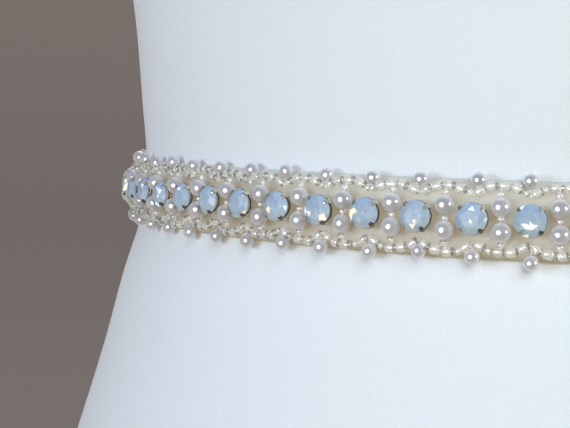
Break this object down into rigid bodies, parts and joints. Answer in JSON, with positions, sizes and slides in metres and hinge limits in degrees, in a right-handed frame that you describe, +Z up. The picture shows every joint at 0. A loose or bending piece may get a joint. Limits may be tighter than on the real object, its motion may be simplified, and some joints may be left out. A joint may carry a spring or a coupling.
{
  "type": "bridal sash on dress form",
  "caption": "Narrow ribbon sash with a woven face of pearls, clear beads and round opal stones in claw cups, worn round the waist of a smooth limbless dress form.",
  "frame": {"origin": "on the dress form's flat underside, below the waist's centre", "axes": "+Z up, the form faces -Y, its own left side is at +X"},
  "size_m": [0.345, 0.2435, 0.64],
  "materials": {
    "form_jersey": "white fine-knit jersey cover, matt",
    "ribbon_satin": "ivory satin ribbon",
    "pearl_beads": "white pearls with a soft lustre, among clear glass beads",
    "crystal": "milky air-blue opal glass, cut in facets, in a silver cup",
    "silver_metal": "bright silver plate"
  },
  "bodies": {
    "root": {"dress_form": "form_jersey", "ribbon": "ribbon_satin", "bead_trim_right": "pearl_beads", "bead_trim_front": "pearl_beads", "bead_trim_left": "pearl_beads", "snap_upper": "silver_metal", "snap_lower": "silver_metal", "crystal_01": "crystal", "crystal_02": "crystal", "crystal_03": "crystal", "crystal_04": "crystal", "crystal_05": "crystal", "crystal_06": "crystal", "crystal_07": "crystal", "crystal_08": "crystal", "crystal_09": "crystal", "crystal_10": "crystal", "crystal_11": "crystal", "crystal_12": "crystal", "crystal_13": "crystal", "crystal_14": "crystal", "crystal_15": "crystal", "crystal_16": "crystal", "crystal_17": "crystal", "crystal_18": "crystal", "crystal_19": "crystal", "crystal_20": "crystal", "crystal_21": "crystal", "crystal_22": "crystal", "crystal_23": "crystal", "crystal_24": "crystal", "crystal_25": "crystal", "crystal_26": "crystal", "crystal_27": "crystal", "crystal_28": "crystal", "crystal_29": "crystal", "crystal_30": "crystal", "crystal_31": "crystal"}
  },
  "joints": []
}
